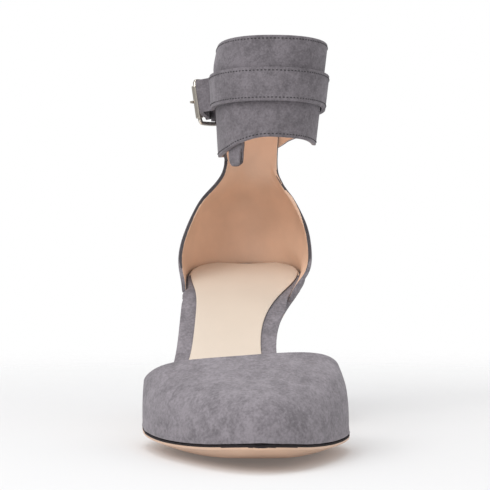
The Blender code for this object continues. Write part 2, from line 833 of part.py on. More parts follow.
def add_buckle():
    corner = 2.2
    outline = []
    long = np.linalg.norm(BACK_BAR_AT - ROLLER_AT)
    corners = ((0, -1, 180), (long, -1, 270), (long, 1, 0), (0, 1, 90))
    for at, end, begin in corners:
        for turn in (begin, begin + 30, begin + 60, begin + 90):
            spin = math.radians(turn)
            middle_x = corner if at == 0 else long - corner
            middle_z = end * (FRAME_HALF - corner)
            outline.append((middle_x + corner * math.cos(spin), middle_z + corner * math.sin(spin)))
    line = [leaned(ROLLER_AT + BACKWARD * a, BUCKLE_Z + b) for a, b in outline]
    tube("buckle_frame", line, BAR_RADIUS, True, METAL)
    low = FRAME_HALF - corner - 0.2
    bar = [leaned(ROLLER_AT, BUCKLE_Z - low), leaned(ROLLER_AT, BUCKLE_Z + low)]
    add_roller(bar)
    loop = BAR_RADIUS + 0.3 + PRONG_RADIUS
    pin = []
    for turn in (-20, 20, 60, 100, 140, 180):
        spin = math.radians(turn)
        pin.append(off_bar(BACK_BAR_AT, loop * math.cos(spin), loop * math.sin(spin)))
    over = ROLLER_RADIUS + PRONG_RADIUS + 0.25
    pin.append(off_bar(ROLLER_AT, -over - 0.15, 6.0))
    pin.append(off_bar(ROLLER_AT, -over, 0.6))
    pin.append(off_bar(ROLLER_AT, -over + 0.5, -1.8))
    tube("buckle_prong", [(x, y, BUCKLE_Z) for x, y in pin], PRONG_RADIUS, False, METAL)


def add_roller(bar):
    """A tube free to turn on the buckle's outer bar."""
    ends = [np.array(p) for p in bar]
    way = (ends[1] - ends[0]) / np.linalg.norm(ends[1] - ends[0])
    aside = np.array([*BACKWARD, 0.0])
    other = np.cross(way, aside)
    points = []
    rings = []
    for end, radius in ((0, BAR_RADIUS + 0.25), (0, ROLLER_RADIUS), (1, ROLLER_RADIUS), (1, BAR_RADIUS + 0.25)):
        rings.append([len(points) + k for k in range(14)])
        for k in range(14):
            turn = 2 * math.pi * k / 14
            points.append(ends[end] + radius * (aside * math.cos(turn) + other * math.sin(turn)))
    faces = skin(rings + [rings[0]], closed=True)
    return add_mesh("buckle_roller", points, faces, METAL, 1.0, 0.25)


clear_scene()
add_outsole()
add_insole_board()
add_sock()
add_vamp()
add_quarter()
add_cuff()
add_heel()
add_heel_tip()
add_cuff_strap()
add_chape()
add_keeper()
add_buckle()
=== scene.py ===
"""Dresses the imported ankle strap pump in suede, leather and nickel, and sets its studio."""

import math

import bmesh
import bpy
import numpy as np
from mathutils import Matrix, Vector
from mathutils.bvhtree import BVHTree


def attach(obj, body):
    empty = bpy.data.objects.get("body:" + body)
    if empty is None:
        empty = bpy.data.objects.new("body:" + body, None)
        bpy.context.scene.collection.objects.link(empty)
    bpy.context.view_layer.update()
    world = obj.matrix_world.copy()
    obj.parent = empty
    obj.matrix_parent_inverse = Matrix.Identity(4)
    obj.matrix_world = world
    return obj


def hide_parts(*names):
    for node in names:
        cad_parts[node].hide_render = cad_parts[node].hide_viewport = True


bl_info = {
    "name": "Ankle strap pump",
    "version": (1, 0, 0),
    "blender": (4, 5, 0),
    "location": "View3D > Sidebar > Pump",
    "description": "Builds the finished look of an ankle strap pump over its solid parts",
    "category": "Object",
}

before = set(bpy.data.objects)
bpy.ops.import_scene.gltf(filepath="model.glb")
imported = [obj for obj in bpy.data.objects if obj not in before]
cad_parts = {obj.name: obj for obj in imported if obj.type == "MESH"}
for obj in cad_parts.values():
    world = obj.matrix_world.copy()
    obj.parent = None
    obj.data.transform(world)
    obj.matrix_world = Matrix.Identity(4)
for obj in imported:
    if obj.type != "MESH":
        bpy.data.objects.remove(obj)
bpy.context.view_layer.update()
MM = 0.001
PIECES = {}


def settings():
    return bpy.context.scene.pump


# Shapes: a finished piece starts as its solid, with rounded edges and a finer skin.

# Corners this near each other are merged, and pairs of triangles this flat become one face.
MERGE_REACH = 2e-6
FLAT_DEG = 22.0
SQUARE_DEG = 60.0


def rounded_copy(node, name, edge_mm, levels, sharp_deg=38.0, segments=2):
    """A smooth copy of a solid: its hard edges are rolled and its facets are divided finer."""
    shape = bmesh.new()
    shape.from_mesh(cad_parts[node].data)
    bmesh.ops.remove_doubles(shape, verts=shape.verts, dist=MERGE_REACH)
    bmesh.ops.dissolve_degenerate(shape, edges=shape.edges, dist=MERGE_REACH / 2)
    bmesh.ops.join_triangles(
        shape,
        faces=shape.faces,
        angle_face_threshold=math.radians(FLAT_DEG),
        angle_shape_threshold=math.radians(SQUARE_DEG),
    )
    hard = [
        edge
        for edge in shape.edges
        if len(edge.link_faces) == 2 and edge.calc_face_angle(0.0) > math.radians(sharp_deg)
    ]
    if hard and edge_mm > 0:
        bmesh.ops.bevel(
            shape,
            geom=hard,
            offset=edge_mm * MM,
            offset_type="OFFSET",
            segments=segments,
            profile=0.5,
            affect="EDGES",
            clamp_overlap=True,
        )
    mesh = bpy.data.meshes.new(name)
    shape.to_mesh(mesh)
    shape.free()
    item = bpy.data.objects.new(name, mesh)
    bpy.context.scene.collection.objects.link(item)
    if levels:
        finer = item.modifiers.new("finer", "SUBSURF")
        finer.levels = levels
        finer.render_levels = levels
        bake(item)
    for face in item.data.polygons:
        face.use_smooth = True
    PIECES[name] = item
    return item


def bake(item):
    """Turns the object's modifiers into plain mesh."""
    graph = bpy.context.evaluated_depsgraph_get()
    mesh = bpy.data.meshes.new_from_object(item.evaluated_get(graph))
    mesh.name = item.name
    item.modifiers.clear()
    item.data = mesh


def new_piece(name, points, faces):
    mesh = bpy.data.meshes.new(name)
    mesh.from_pydata([tuple(p) for p in points], [], faces)
    mesh.update()
    for face in mesh.polygons:
        face.use_smooth = True
    item = bpy.data.objects.new(name, mesh)
    bpy.context.scene.collection.objects.link(item)
    PIECES[name] = item
    return item


def settle(item, *nodes, slot):
    """The piece stands for its solids and rides on the part; its slot is not used."""
    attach(item, "root")
    if nodes:
        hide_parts(*nodes)


def coat(item, finishes, choose):
    """Gives each face the finish that choose(centre, normal) picks by its place in the list."""
    item.data.materials.clear()
    for finish in finishes:
        item.data.materials.append(finish)
    for face in item.data.polygons:
        face.material_index = choose(face.center, face.normal)


def reshape(item, place):
    """Moves each vertex to place(position), as a thumb would draw out one part of the piece."""
    for vertex in item.data.vertices:
        vertex.co = place(vertex.co)
    item.data.update()


def skin_tree(item):
    mesh = item.data
    return BVHTree.FromPolygons([v.co for v in mesh.vertices], [p.vertices for p in mesh.polygons])


def eased(value, start, end):
    """0 before start and 1 after end, with a soft rise between."""
    share = min(max((value - start) / (end - start), 0.0), 1.0)
    return share * share * (3 - 2 * share)


def bump_between(value, rise, fall):
    """1 between two soft slopes and 0 outside them. Each slope is a pair of start and end."""
    return eased(value, *rise) * (1 - eased(value, *fall))


# The cuff is worked by its angle round the ankle: 0 is the outer side and 90 is the front.

CUFF_MIDDLE = Vector((0.0103, 0.121, 0.1436))
# A ray aimed at the ankle starts this far out, clear of every skin.
RAY_START = 0.08


def cuff_angle(at):
    return math.degrees(math.atan2(CUFF_MIDDLE.y - at.y, CUFF_MIDDLE.x - at.x)) % 360


def cuff_reach(at):
    return math.hypot(at.x - CUFF_MIDDLE.x, at.y - CUFF_MIDDLE.y)


def cuff_way(angle):
    """The flat direction out from the ankle at this angle."""
    turn = math.radians(angle)
    return Vector((-math.cos(turn), -math.sin(turn), 0.0))


# Finishes.

# The suede's clouds. Columns: times the patch size, detail, weight.
NAP_CLOUDS = ((1.0, 3.0, 0.29), (4.2, 4.0, 0.34), (15.0, 3.0, 0.37))
NAP_STRETCH = (1.0, 0.6, 1.0)
NAP_RANGE = (0.41, 0.59)
PORES_PER_METRE = 900.0
PORE_DEPTH = 0.00006


def nap_group():
    """Shared suede grain: cloudy patches of lighter and darker nap and a fine bump."""
    if "Nap" in bpy.data.node_groups:
        return bpy.data.node_groups["Nap"]
    group = bpy.data.node_groups.new("Nap", "ShaderNodeTree")
    group.interface.new_socket("Patch size", in_out="INPUT", socket_type="NodeSocketFloat")
    group.interface.new_socket("Shade", in_out="OUTPUT", socket_type="NodeSocketFloat")
    group.interface.new_socket("Normal", in_out="OUTPUT", socket_type="NodeSocketVector")
    nodes, links = group.nodes, group.links
    inside = nodes.new("NodeGroupInput")
    outside = nodes.new("NodeGroupOutput")
    where = nodes.new("ShaderNodeTexCoord")
    brushed = nodes.new("ShaderNodeMapping")
    brushed.inputs["Scale"].default_value = NAP_STRETCH
    links.new(where.outputs["Object"], brushed.inputs["Vector"])
    total = None
    for scale, detail, weight in NAP_CLOUDS:
        size = nodes.new("ShaderNodeMath")
        size.operation = "MULTIPLY"
        size.inputs[1].default_value = scale
        links.new(inside.outputs[0], size.inputs[0])
        cloud = nodes.new("ShaderNodeTexNoise")
        cloud.inputs["Detail"].default_value = detail
        cloud.inputs["Roughness"].default_value = 0.6
        cloud.inputs["Distortion"].default_value = 0.35
        links.new(brushed.outputs["Vector"], cloud.inputs["Vector"])
        links.new(size.outputs[0], cloud.inputs["Scale"])
        part = nodes.new("ShaderNodeMath")
        part.operation = "MULTIPLY_ADD"
        part.inputs[1].default_value = weight
        part.inputs[2].default_value = 0.0
        links.new(cloud.outputs["Fac"], part.inputs[0])
        if total is not None:
            links.new(total.outputs[0], part.inputs[2])
        total = part
    spread = nodes.new("ShaderNodeMapRange")
    spread.inputs["From Min"].default_value = NAP_RANGE[0]
    spread.inputs["From Max"].default_value = NAP_RANGE[1]
    links.new(total.outputs[0], spread.inputs["Value"])
    links.new(spread.outputs["Result"], outside.inputs["Shade"])
    grain = nodes.new("ShaderNodeTexNoise")
    grain.inputs["Scale"].default_value = 1500.0
    grain.inputs["Detail"].default_value = 3.0
    links.new(where.outputs["Object"], grain.inputs["Vector"])
    bump = nodes.new("ShaderNodeBump")
    bump.inputs["Strength"].default_value = 0.35
    bump.inputs["Distance"].default_value = 0.0003
    links.new(grain.outputs["Fac"], bump.inputs["Height"])
    links.new(bump.outputs["Normal"], outside.inputs["Normal"])
    return group


def tinted(colour, by):
    return tuple(min(max(c * by, 0.0), 1.0) for c in colour[:3]) + (1.0,)


def blank(name):
    finish = bpy.data.materials.new(name)
    finish.use_nodes = True
    return finish, finish.node_tree.nodes["Principled BSDF"]


def suede(name, colour, contrast, patch=55.0):
    """Brushed suede: cloudy, quite dull, with a soft bright edge where it turns away."""
    finish, shader = blank(name)
    nodes, links = finish.node_tree.nodes, finish.node_tree.links
    nap = nodes.new("ShaderNodeGroup")
    nap.node_tree = nap_group()
    nap.inputs[0].default_value = patch
    mix = nodes.new("ShaderNodeMix")
    mix.data_type = "RGBA"
    mix.inputs["A"].default_value = tinted(colour, 1 - contrast)
    mix.inputs["B"].default_value = tinted(colour, 1 + contrast)
    links.new(nap.outputs["Shade"], mix.inputs["Factor"])
    links.new(mix.outputs["Result"], shader.inputs["Base Color"])
    links.new(nap.outputs["Normal"], shader.inputs["Normal"])
    shader.inputs["Roughness"].default_value = 0.95
    shader.inputs["Specular IOR Level"].default_value = 0.15
    shader.inputs["Sheen Weight"].default_value = 0.2
    shader.inputs["Sheen Roughness"].default_value = 0.45
    shader.inputs["Sheen Tint"].default_value = (0.86, 0.84, 0.88, 1.0)
    return finish


def leather(name, colour, rough, contrast=0.05):
    """Smooth leather with faint cloudiness and a fine pore bump."""
    finish, shader = blank(name)
    nodes, links = finish.node_tree.nodes, finish.node_tree.links
    where = nodes.new("ShaderNodeTexCoord")
    cloud = nodes.new("ShaderNodeTexNoise")
    cloud.inputs["Scale"].default_value = 70.0
    cloud.inputs["Detail"].default_value = 4.0
    links.new(where.outputs["Object"], cloud.inputs["Vector"])
    mix = nodes.new("ShaderNodeMix")
    mix.data_type = "RGBA"
    mix.inputs["A"].default_value = tinted(colour, 1 - contrast)
    mix.inputs["B"].default_value = tinted(colour, 1 + contrast)
    links.new(cloud.outputs["Fac"], mix.inputs["Factor"])
    links.new(mix.outputs["Result"], shader.inputs["Base Color"])
    pores = nodes.new("ShaderNodeTexVoronoi")
    pores.inputs["Scale"].default_value = PORES_PER_METRE
    links.new(where.outputs["Object"], pores.inputs["Vector"])
    bump = nodes.new("ShaderNodeBump")
    bump.inputs["Strength"].default_value = 0.5
    bump.inputs["Distance"].default_value = PORE_DEPTH
    links.new(pores.outputs["Distance"], bump.inputs["Height"])
    links.new(bump.outputs["Normal"], shader.inputs["Normal"])
    shader.inputs["Roughness"].default_value = rough
    return finish


def plain(name, colour, rough, metallic=0.0, shine=0.5):
    finish, shader = blank(name)
    shader.inputs["Specular IOR Level"].default_value = shine
    shader.inputs["Base Color"].default_value = (*colour[:3], 1.0)
    shader.inputs["Roughness"].default_value = rough
    shader.inputs["Metallic"].default_value = metallic
    return finish


def finish_of(kind):
    """Each finish is made once, from the panel's colours."""
    name = "Pump " + kind
    if name in bpy.data.materials:
        return bpy.data.materials[name]
    chosen = settings()
    makers = {
        "suede": lambda: suede(name, chosen.suede_colour, 0.28, 62.0),
        "cuff suede": lambda: suede(name, tinted(chosen.suede_colour, 0.86), 0.27, 72.0),
        "suede edge": lambda: suede(name, tinted(chosen.suede_colour, 0.36), 0.12),
        # Lighter suede on rolled and cut edges, a painted highlight of the light they catch.
        "highlight edge": lambda: suede(name, tinted(chosen.suede_colour, 1.12), 0.2, 120.0),
        "lining": lambda: leather(name, chosen.lining_colour, 0.5, 0.16),
        "sock": lambda: leather(name, chosen.sock_colour, 0.42, 0.03),
        # The sock's rim is darkened as painted shadow in the gap beside the board's suede.
        "shaded sock edge": lambda: leather(name, tinted(chosen.sock_colour, 0.45), 0.6),
        "sole": lambda: leather(name, chosen.sole_colour, 0.38, 0.06),
        "sole edge": lambda: plain(name, chosen.edge_colour, 0.7, shine=0.15),
        "thread": lambda: plain(name, tinted(chosen.suede_colour, 0.2), 0.8),
        "tip": lambda: plain(name, (0.02, 0.02, 0.02), 0.5),
        "metal": lambda: plain(name, chosen.metal_colour, 0.12, 1.0),
    }
    return makers[kind]()


def colour_setting(name, description, default):
    return bpy.props.FloatVectorProperty(
        name=name, description=description, subtype="COLOR", size=3, min=0, max=1, default=default
    )


def length_setting(name, description, low, high, default):
    return bpy.props.FloatProperty(
        name=name,
        description=description,
        subtype="DISTANCE",
        unit="LENGTH",
        min=low,
        max=high,
        default=default,
    )


class PumpSettings(bpy.types.PropertyGroup):
    """Sizes and colours of the pump's finished look."""

    suede_colour: colour_setting("Suede", "Colour of the suede's nap", (0.215, 0.196, 0.214))
    lining_colour: colour_setting("Lining", "Colour of the leather lining", (0.80, 0.55, 0.40))
    sock_colour: colour_setting(
        "Sock", "Colour of the leather that covers the insole", (0.685, 0.582, 0.483)
    )
    sole_colour: colour_setting("Sole", "Colour of the sole's underside", (0.66, 0.44, 0.31))
    edge_colour: colour_setting(
        "Sole edge", "Colour of the sole's painted edge", (0.022, 0.018, 0.02)
    )
    metal_colour: colour_setting("Buckle", "Colour of the buckle's metal", (0.80, 0.74, 0.65))
    stitch_pitch: length_setting(
        "Stitch length", "Distance from one stitch to the next", 0.0008, 0.005, 0.00168
    )
    stitch_inset: length_setting(
        "Stitch inset", "Distance of the stitching from the edge beside it", 0.0005, 0.006, 0.0014
    )


def hand_creases(creases, inside):
    """Soft folds pressed toward inside(y). Each is a line with a width and a depth in mm."""
    lines = [(Vector(a) * MM, Vector(b) * MM, w * MM, d * MM) for a, b, w, d in creases]

    def place(at):
        move = 0.0
        for start, end, width, depth in lines:
            way = end - start
            share = min(max((at - start).dot(way) / way.length_squared, 0.0), 1.0)
            away = (at - (start + way * share)).length
            fade = math.sin(math.pi * min(max(share, 0.04), 0.96)) ** 0.6
            move += depth * fade * math.exp(-((away / width) ** 2))
        return at + (inside(at.y) - at).normalized() * move

    return place


# The line down the middle of the toe's hollow, from toe to throat. Columns: y, x, z.
VAMP_MIDDLE = (
    (-0.078, 0.0058, 0.013),
    (-0.030, 0.003, 0.016),
    (0.010, 0.0, 0.020),
    (0.045, -0.009, 0.030),
)
MIDDLE_Y, MIDDLE_X, MIDDLE_Z = zip(*VAMP_MIDDLE)


def vamp_inside(y):
    """A point on the line down the middle of the toe's hollow."""
    x = float(np.interp(y, MIDDLE_Y, MIDDLE_X))
    z = float(np.interp(y, MIDDLE_Y, MIDDLE_Z))
    return Vector((x, y, z))


# Where the inner shoulder of the topline is, how far round it the easing reaches, and its move.
SHOULDER = (Vector((0.031, -0.004, 0.0275)), 0.013, Vector((-0.0011, 0.0, -0.0013)))


def eased_shoulder(at):
    """Softens the inner shoulder of the topline, which the last leaves a little full."""
    middle, reach, move = SHOULDER
    return at + move * math.exp(-(((at - middle).length / reach) ** 2))


# Columns: start and end of the fold, its width, its depth, all in mm.
VAMP_CREASES = (
    ((20.0, 2.0, 33.0), (33.0, -14.0, 29.0), 2.2, 1.2),
    ((28.0, 5.0, 32.0), (37.0, -10.0, 25.5), 1.8, 1.0),
    ((-2.0, -14.0, 33.5), (18.0, -18.0, 32.5), 3.4, 0.8),
    ((-34.0, -8.0, 27.5), (-18.0, -16.0, 31.5), 3.2, 0.8),
    ((-8.0, -30.0, 30.0), (14.0, -34.0, 29.5), 5.0, 0.7),
)

# Faces are told apart by how squarely they look into the hollow, from -1 to 1.
LINING_FACING = 0.5
RIM_FACING = -0.35
# Rim faces that face up more than this, behind TOPLINE_FRONT, take the lighter edge suede as a
# painted highlight.
HIGHLIGHT_UP = 0.1
TOPLINE_FRONT = -0.012


class PUMP_OT_vamp(bpy.types.Operator):
    """Builds the toe: suede outside, leather inside, creased along listed folds"""

    bl_idname = "pump.vamp"
    bl_label = "Vamp"

    def execute(self, context):
        item = rounded_copy("vamp", "Vamp", 0.5, 2)
        reshape(item, eased_shoulder)
        reshape(item, hand_creases(VAMP_CREASES, vamp_inside))

        def choose(at, normal):
            inward = (vamp_inside(at.y) - at).normalized()
            facing = normal.dot(inward)
            if facing > LINING_FACING:
                return 1
            # Upward rim faces of the topline get the lighter edge suede: a painted highlight.
            rim = facing > RIM_FACING and normal.z > HIGHLIGHT_UP and at.y > TOPLINE_FRONT
            return 2 if rim else 0

        coat(item, [finish_of("suede"), finish_of("lining"), finish_of("highlight edge")], choose)
        settle(item, "vamp", slot="suede")
        return {"FINISHED"}


# Where the wing's tongue stands round the ankle, in degrees: as the solid has it, and as worn.
TONGUE_FROM = (50.0, 66.0, 71.0, 74.0, 82.0)
TONGUE_TO = (50.0, 56.5, 70.0, 73.5, 81.5)
# It is moved in full below the first height, not at all above the second or under its foot.
TONGUE_LEVELS = (0.1165, 0.121)
TONGUE_FOOT = 0.1105
# Its corners are raised by this much, in metres, at this many degrees from its centre.
TONGUE_CENTRE = 65.0
TONGUE_HALF = 8.5
TONGUE_CORNER = 0.0019


def tongue_shaper(tree):
    """Widens the wing's tongue, slides it outward along the wing and rounds its corners."""
    keys, walls = [], []
    for angle in range(round(TONGUE_FROM[0]) - 10, round(TONGUE_FROM[-1])):
        way = cuff_way(angle)
        spot = tree.ray_cast(CUFF_MIDDLE + way * RAY_START, -way)[0]
        if spot is not None and cuff_angle(spot) < 180:
            keys.append(angle)
            walls.append(cuff_reach(spot))

    def wall(angle):
        return float(np.interp(angle, keys, walls))

    def place(at):
        angle = cuff_angle(at)
        low = 1 - eased(at.z, *TONGUE_LEVELS)
        if low == 0 or at.z < TONGUE_FOOT or not TONGUE_FROM[0] < angle < TONGUE_FROM[-1]:
            return at
        turned = angle + low * (float(np.interp(angle, TONGUE_FROM, TONGUE_TO)) - angle)
        spot = CUFF_MIDDLE + cuff_way(turned) * (cuff_reach(at) + wall(turned) - wall(angle))
        corner = TONGUE_CORNER * low * min(abs(turned - TONGUE_CENTRE) / TONGUE_HALF, 1.0) ** 4
        return Vector((spot.x, spot.y, at.z + corner))

    return place


class PUMP_OT_quarter(bpy.types.Operator):
    """Builds the heel counter and its wing: suede outside, leather inside, dark bound edges"""

    bl_idname = "pump.quarter"
    bl_label = "Quarter"

    def execute(self, context):
        item = rounded_copy("quarter", "Quarter", 0.45, 2)
        reshape(item, tongue_shaper(skin_tree(item)))
        finishes = [finish_of(kind) for kind in ("suede", "lining", "suede edge", "cuff suede")]
        coat(item, finishes, quarter_face)
        settle(item, "quarter", slot="suede")
        return {"FINISHED"}


# The upright lines that the cuff and the counter stand round, as x and y.
CUFF_AXIS = (0.010, 0.121)
COUNTER_AXIS = (0.0, 0.128)
WING_Z = 0.110
# Above this height the wing's front takes the cuff's darker suede as painted shade under the cuff.
WING_SHADE_Z = 0.109
BOUND_EDGE_Z = 0.066
BOUND_EDGE_FACING = 0.42


def ring_facing(at, normal, middle):
    """How far a wall's face looks away from the upright line through middle, from -1 to 1."""
    out = Vector((at.x - middle[0], at.y - middle[1], 0.0)).normalized()
    return normal.dot(out)


def quarter_face(at, normal):
    """0 is suede, 1 lining, 2 the bound edge and 3 the wing's darker suede, painted shade under
    the cuff.
    """
    facing = ring_facing(at, normal, CUFF_AXIS if at.z > WING_Z else COUNTER_AXIS)
    if abs(facing) < BOUND_EDGE_FACING and at.z > BOUND_EDGE_Z:
        return 2
    if facing < 0:
        return 1
    # The wing under the cuff is darkened as painted shade.
    return 3 if at.z > WING_SHADE_Z and cuff_angle(at) < 180 else 0


# How much higher the hem is drawn, by the angle round the ankle, in metres.
HEM_ANGLES = (90.0, 120.0, 155.0, 182.0, 208.0, 234.0, 254.0, 270.0, 286.0)
HEM_RISES = (0.0, -0.0009, -0.0012, -0.0003, 0.0022, 0.0040, 0.0040, 0.0020, 0.0)
HEM_FADE = (0.118, 0.134)
# How far the outer top corner leans in, and between which heights.
TOP_LEAN = 0.0024
TOP_LEAN_RISE = (0.1535, 0.168)
TOP_LEAN_DROP = 0.4
CUT_EDGE_FACING = 0.35


def worn_cuff(at):
    """Draws the hem up at the inner back and down at the inner front, and leans the top in."""
    angle = cuff_angle(at)
    rise = float(np.interp(angle, HEM_ANGLES, HEM_RISES)) * (1 - eased(at.z, *HEM_FADE))
    outer = max(math.cos(math.radians(angle)), 0.0) ** 2
    lean = TOP_LEAN * outer * eased(at.z, *TOP_LEAN_RISE)
    return at + Vector((lean, 0.0, rise - lean * TOP_LEAN_DROP))


class PUMP_OT_cuff(bpy.types.Operator):
    """Builds the ankle cuff: suede outside, leather inside, lighter cut edges as painted highlight
    """

    bl_idname = "pump.cuff"
    bl_label = "Cuff"

    def execute(self, context):
        item = rounded_copy("cuff", "Cuff", 0.45, 2)
        reshape(item, worn_cuff)

        def choose(at, normal):
            facing = ring_facing(at, normal, CUFF_AXIS)
            # The cut edges get the lighter edge suede, a painted highlight.
            if abs(facing) < CUT_EDGE_FACING:
                return 2
            return 0 if facing > 0 else 1

        coat(item, [finish_of("cuff suede"), finish_of("lining"), finish_of("highlight edge")], choose)
        settle(item, "cuff", slot="suede")
        return {"FINISHED"}


BUCKLE_Z = 0.1404
# How much taller the chape is at the buckle and under the strap, and the y where that changes.
CHAPE_FULLER = 1.45
CHAPE_UNDER = 1.1
CHAPE_CHANGE = (0.146, 0.153)
# How much the strap spreads at the buckle, and the slopes in y and x that bound the place.
STRAP_FULLER = 0.16
STRAP_RISE_Y = (0.119, 0.127)
STRAP_FALL_Y = (0.141, 0.149)
STRAP_FALL_X = (-0.013, -0.010)
STRAP_EDGE_FACING = 0.8


def full_chape(at):
    """The chape fills the buckle's bar and narrows under the strap."""
    fuller = CHAPE_FULLER + (CHAPE_UNDER - CHAPE_FULLER) * eased(at.y, *CHAPE_CHANGE)
    return Vector((at.x, at.y, BUCKLE_Z + (at.z - BUCKLE_Z) * fuller))


def full_strap(at):
    """The strap spreads a little where it passes through the buckle."""
    inside = bump_between(at.y, STRAP_RISE_Y, STRAP_FALL_Y) * (1 - eased(at.x, *STRAP_FALL_X))
    return Vector((at.x, at.y, at.z + (at.z - BUCKLE_Z) * STRAP_FULLER * inside))


class PUMP_OT_straps(bpy.types.Operator):
    """Builds the buckled strap, the chape and the keeper"""

    bl_idname = "pump.straps"
    bl_label = "Straps"

    def execute(self, context):
        strap = rounded_copy("cuff_strap", "Cuff_strap", 0.35, 1)
        reshape(strap, full_strap)

        def choose(at, normal):
            # Top and bottom faces get the lighter edge suede, a painted highlight.
            return 1 if abs(normal.z) > STRAP_EDGE_FACING else 0

        coat(strap, [finish_of("cuff suede"), finish_of("highlight edge")], choose)
        settle(strap, "cuff_strap", slot="suede")
        for node, name in (("chape", "Chape"), ("keeper", "Keeper")):
            item = rounded_copy(node, name, 0.2, 1)
            if node == "chape":
                reshape(item, full_chape)
            coat(item, [finish_of("cuff suede"), finish_of("highlight edge")], choose)
            settle(item, node, slot="suede")
        return {"FINISHED"}


# Behind this y the board's top is covered like the sock, up to the counter's wall.
SEAT_BACK = 0.135
TOP_FACING = 0.6
# The board's outer rim is moved out to this x, along this stretch of y, beyond this x.
RIM_X = 0.0275
RIM_RISE_Y = (0.1045, 0.107)
RIM_FALL_Y = (0.1118, 0.1140)
RIM_FROM_X = (0.0225, 0.0250)


def full_rim(at):
    """Carries the board's outer rim on to the front corner of the quarter."""
    near = bump_between(at.y, RIM_RISE_Y, RIM_FALL_Y)
    rim = eased(-at.x, *RIM_FROM_X)
    out = min(at.x, -RIM_X)
    return Vector((at.x + (out - at.x) * near * rim, at.y, at.z))


class PUMP_OT_insole(bpy.types.Operator):
    """Builds the covered board and the leather sock on it"""

    bl_idname = "pump.insole"
    bl_label = "Insole"

    def execute(self, context):
        board = rounded_copy("insole_board", "Insole_board", 0.5, 1)
        reshape(board, full_rim)

        def cover(at, normal):
            return 1 if at.y > SEAT_BACK and normal.z > TOP_FACING else 0

        coat(board, [finish_of("suede"), finish_of("sock")], cover)
        settle(board, "insole_board", slot="suede")
        sock = rounded_copy("sock", "Sock", 0.12, 1, segments=1)

        def choose(at, normal):
            # Rim faces take the darkened leather, a painted shadow at the board.
            return 0 if normal.z > TOP_FACING else 1

        coat(sock, [finish_of("sock"), finish_of("shaded sock edge")], choose)
        settle(sock, "sock", slot="sock_leather")
        return {"FINISHED"}


# Behind this y the sole's edge is covered, and ahead of it the top of the edge is painted.
SEAT_START = 0.096
PAINTED_EDGE = 0.0005
EDGE_INSET = 0.0012
UNDERSIDE_FACING = -0.62
ABOVE_ALL = 0.2
# The shares by which the heel's front corners and the sole's waist are tucked in, and where.
HEEL_TUCK = 0.035
HEEL_TUCK_RISE_Z = (0.040, 0.056)
HEEL_TUCK_FALL_Y = (0.124, 0.148)
WAIST_TUCK = 0.055
WAIST_TUCK_RISE_Y = (0.020, 0.055)
WAIST_TUCK_FALL_Y = (0.118, 0.135)


def slim_heel(at):
    """Draws the heel's front corners in under the quarter."""
    tuck = HEEL_TUCK * eased(at.z, *HEEL_TUCK_RISE_Z) * (1 - eased(at.y, *HEEL_TUCK_FALL_Y))
    return Vector((at.x * (1 - tuck), at.y, at.z))


def slim_waist(at):
    """Tucks the sole's edge in under the board along the waist."""
    tuck = WAIST_TUCK * bump_between(at.y, WAIST_TUCK_RISE_Y, WAIST_TUCK_FALL_Y)
    return Vector((at.x * (1 - tuck), at.y, at.z))


class PUMP_OT_sole(bpy.types.Operator):
    """Builds the leather sole with its painted edge, the covered heel and its top piece"""

    bl_idname = "pump.sole"
    bl_label = "Sole and heel"

    def execute(self, context):
        sole = rounded_copy("outsole", "Outsole", 0.3, 2)
        reshape(sole, slim_waist)
        skin = skin_tree(sole)

        def choose(at, normal):
            if normal.z < UNDERSIDE_FACING:
                return 0
            if at.y > SEAT_START:
                return 2
            inner = at - Vector((normal.x, normal.y, 0.0)).normalized() * EDGE_INSET
            top = skin.ray_cast(Vector((inner.x, inner.y, ABOVE_ALL)), Vector((0, 0, -1)))[0]
            return 0 if top is not None and top.z - at.z > PAINTED_EDGE else 1

        coat(sole, [finish_of(kind) for kind in ("sole", "sole edge", "cuff suede")], choose)
        settle(sole, "outsole", slot="sole_leather")
        heel = rounded_copy("heel", "Heel", 0.5, 2)
        reshape(heel, slim_heel)
        coat(heel, [finish_of("suede")], lambda at, normal: 0)
        settle(heel, "heel", slot="suede")
        tip = rounded_copy("heel_tip", "Heel_tip", 0.3, 1)
        coat(tip, [finish_of("tip")], lambda at, normal: 0)
        settle(tip, "heel_tip", slot="tip_rubber")
        return {"FINISHED"}


class PUMP_OT_buckle(bpy.types.Operator):
    """Builds the buckle's frame, roller and prong in polished nickel"""

    bl_idname = "pump.buckle"
    bl_label = "Buckle"

    def execute(self, context):
        for node, name, edge in (
            ("buckle_frame", "Buckle_frame", 0.0),
            ("buckle_roller", "Buckle_roller", 0.15),
            ("buckle_prong", "Buckle_prong", 0.15),
        ):
            item = rounded_copy(node, name, edge, 2, sharp_deg=60.0)
            coat(item, [finish_of("metal")], lambda at, normal: 0)
            settle(item, node, slot="nickel")
        return {"FINISHED"}


# Stitching: small raised threads laid on the finished skins.

# The strap's height beside the ankle's middle, its slope toward the front, and half its width.
STRAP_Z = 0.1436
STRAP_RISE = 0.071
STRAP_HALF = 0.0072
THREAD_RADIUS = 0.00024
THREAD_SHARE = 0.7
# The stitched stretches, in degrees round the ankle, and the heights that hold the cuff's edges.
LINE_STEP = 3
CUFF_SPAN = (0, 363)
STRAP_SPAN = (16, 262)
EDGE_LOW = 0.110
EDGE_HIGH = 0.175
HALVINGS = 12
# Half the run over which the direction of a seam is taken, in metres.
WAY_REACH = 0.0004
# A thread's outline. Columns: place along it, share of its radius, rise over the skin in radii.
THREAD_OUTLINE = (
    (-1.0, 0.35, -0.6),
    (-0.62, 0.9, -0.05),
    (0.0, 1.0, 0.18),
    (0.62, 0.9, -0.05),
    (1.0, 0.35, -0.6),
)
THREAD_SIDES = 6


